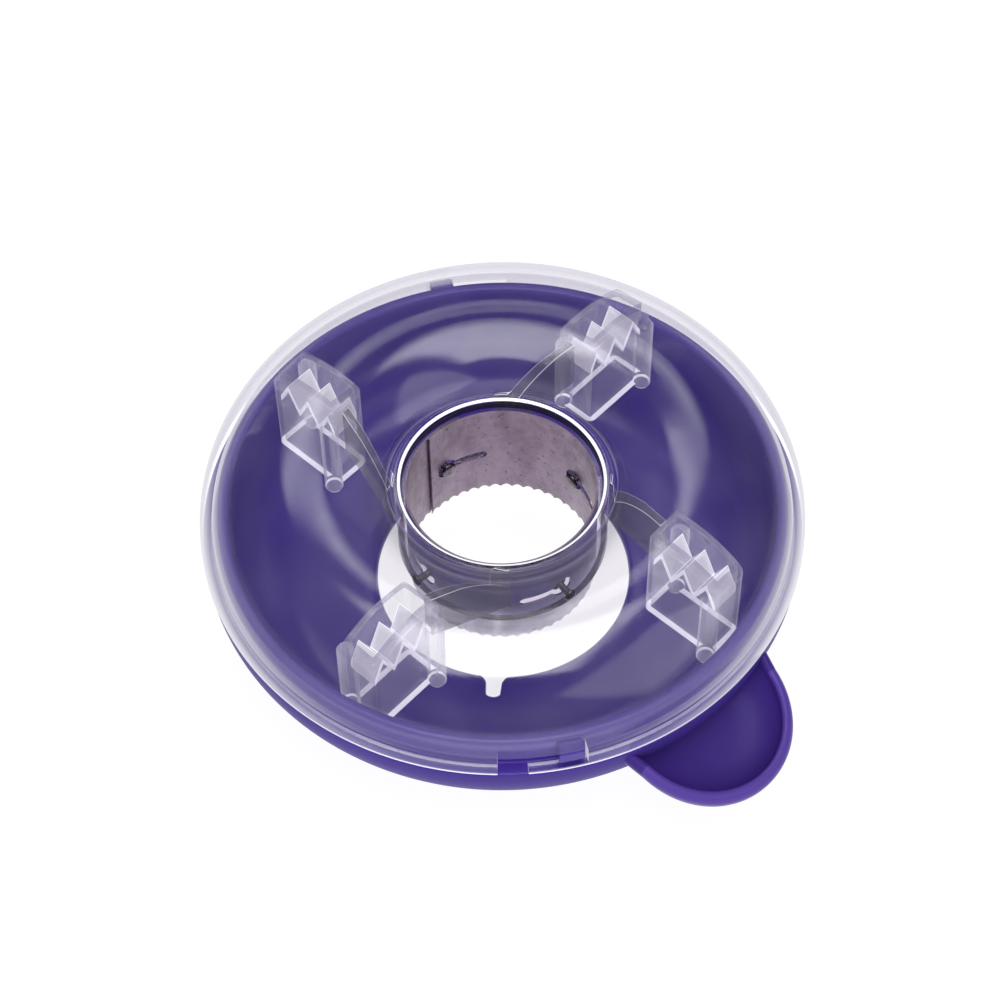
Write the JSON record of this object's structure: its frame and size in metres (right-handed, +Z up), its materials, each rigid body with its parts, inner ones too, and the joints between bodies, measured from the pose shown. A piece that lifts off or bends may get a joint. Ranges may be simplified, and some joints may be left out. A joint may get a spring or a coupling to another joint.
{
  "type": "corn cob cutter",
  "caption": "Ring-shaped corn cob cutter: a purple ring bowl with a thumb scoop, a clear domed twist-on cover with grip blocks, and a serrated round steel blade in a clear collar.",
  "frame": {"origin": "centre of the bounding box at the height of the foot it rests on", "axes": "+Z up along the axis of the ring, +X from the ring towards the tip of the scoop handle, +Y across"},
  "size_m": [0.1302, 0.115, 0.0393],
  "materials": {
    "bowl_plastic": "glossy moulded purple plastic",
    "clear_plastic": "clear moulded plastic",
    "collar_plastic": "clear, faintly smoky moulded plastic",
    "grip_plastic": "clear moulded plastic",
    "blade_steel": "rolled stainless strip, mottled satin",
    "stud_steel": "satin steel rivet"
  },
  "bodies": {
    "base": {"bowl": "bowl_plastic"},
    "cover": {"clear_cover": "clear_plastic", "collar": "collar_plastic", "blade_stud_1": "stud_steel", "blade_stud_2": "stud_steel", "blade_stud_3": "stud_steel", "blade_stud_4": "stud_steel", "grip_block_1": "grip_plastic", "grip_block_2": "grip_plastic", "grip_block_3": "grip_plastic", "grip_block_4": "grip_plastic"},
    "blade": {"blade_strip": "blade_steel"}
  },
  "joints": [
    {"name": "cover_twist", "type": "hinge", "parent": "base", "child": "cover", "pos_m": [-0.0076, 0, 0.02], "axis": [0, 0, 1], "range_deg": [0, 10.8]},
    {"name": "blade_twist", "type": "hinge", "parent": "cover", "child": "blade", "pos_m": [-0.0076, 0, 0.02], "axis": [0, 0, 1], "range_deg": [0, 24]}
  ]
}
